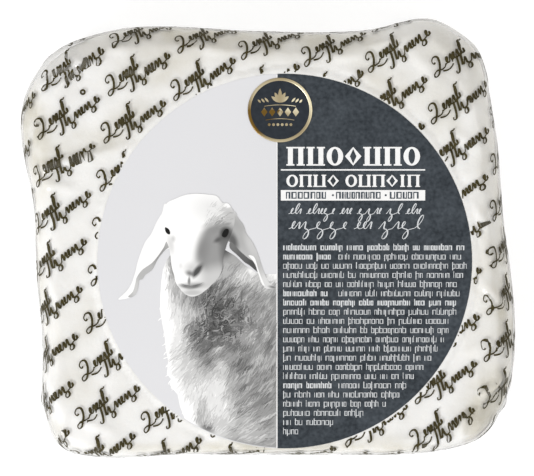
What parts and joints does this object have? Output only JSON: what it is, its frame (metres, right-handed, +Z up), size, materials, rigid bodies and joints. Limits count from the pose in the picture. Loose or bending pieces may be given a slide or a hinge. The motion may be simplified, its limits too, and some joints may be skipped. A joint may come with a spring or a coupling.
{
  "type": "vacuum-packed block of white brined cheese",
  "caption": "Square block of white brined sheep cheese sealed tight in clear film, with a large round label on its big face.",
  "frame": {"origin": "on the table under the middle of the block's bounding box, as it lies on its plain big face", "axes": "+Z up through the labelled face, +X along the block's longer side towards the label's dark half, -Y towards the side that the label nearly reaches"},
  "size_m": [0.125, 0.1114, 0.0582],
  "materials": {
    "cheese_in_film": "glossy wrinkled film over white cheese",
    "label_paper": "satin printed label"
  },
  "bodies": {
    "root": {"pack": "cheese_in_film", "label": "label_paper"}
  },
  "joints": []
}
